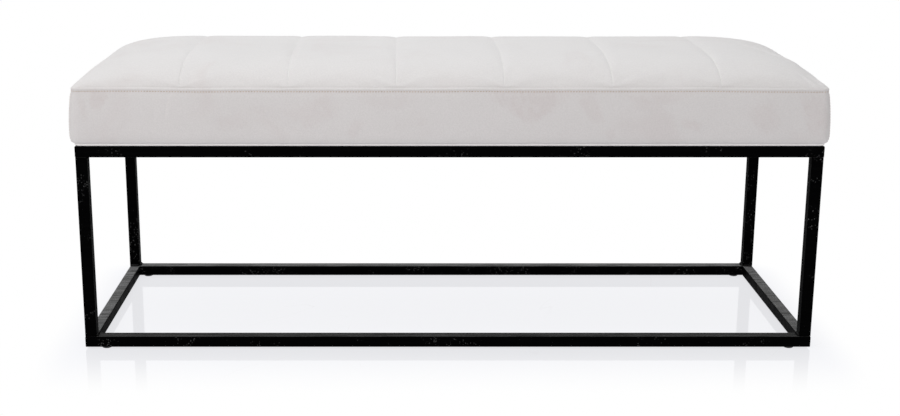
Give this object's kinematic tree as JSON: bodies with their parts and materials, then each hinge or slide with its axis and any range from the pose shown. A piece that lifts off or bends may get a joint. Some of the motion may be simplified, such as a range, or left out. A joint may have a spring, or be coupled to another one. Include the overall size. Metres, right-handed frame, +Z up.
{
  "type": "upholstered bench",
  "caption": "Long bench: a crowned fabric box cushion sewn in cross channels, on an open box frame of black square steel tube with a floor ring.",
  "frame": {"origin": "on the floor, under the middle of the bench", "axes": "+X along the bench to its right end, +Y from its front to its back, +Z up"},
  "size_m": [1.22, 0.406, 0.4829],
  "materials": {
    "black_powder_coat": "satin black powder coat on welded steel tube, tiny seeds and ground weld marks at the corners",
    "black_nylon": "moulded nylon, lightly scuffed underside",
    "off_white_velvet": "short-pile velvet, off-white, soft sheen at the grazing edges, brushed patches in the nap",
    "birch_plywood": "birch plywood, sanded, with visible plies at its edges",
    "black_dust_cloth": "spun-bonded non-woven cloth",
    "seat_foam": "open-cell polyurethane foam",
    "polyester_wadding": "fluffy polyester wadding",
    "zinc_plated_steel": "bright zinc plate"
  },
  "bodies": {
    "root": {"back_left_leg": "black_powder_coat", "back_left_tab": "black_powder_coat", "back_right_leg": "black_powder_coat", "back_right_tab": "black_powder_coat", "bottom_back_rail": "black_powder_coat", "bottom_front_rail": "black_powder_coat", "bottom_left_rail": "black_powder_coat", "bottom_right_rail": "black_powder_coat", "cover_back_band": "off_white_velvet", "cover_front_band": "off_white_velvet", "cover_left_band": "off_white_velvet", "cover_right_band": "off_white_velvet", "cover_top_panel": "off_white_velvet", "dust_cover": "black_dust_cloth", "foam_core": "seat_foam", "front_left_leg": "black_powder_coat", "front_left_tab": "black_powder_coat", "front_right_leg": "black_powder_coat", "front_right_tab": "black_powder_coat", "glides": "black_nylon", "seat_board": "birch_plywood", "seat_bolts": "zinc_plated_steel", "seat_tee_nuts": "zinc_plated_steel", "seat_washers": "zinc_plated_steel", "top_back_rail": "black_powder_coat", "top_front_rail": "black_powder_coat", "top_left_rail": "black_powder_coat", "top_right_rail": "black_powder_coat", "wadding_pad": "polyester_wadding", "weld_beads": "black_powder_coat"}
  },
  "joints": []
}
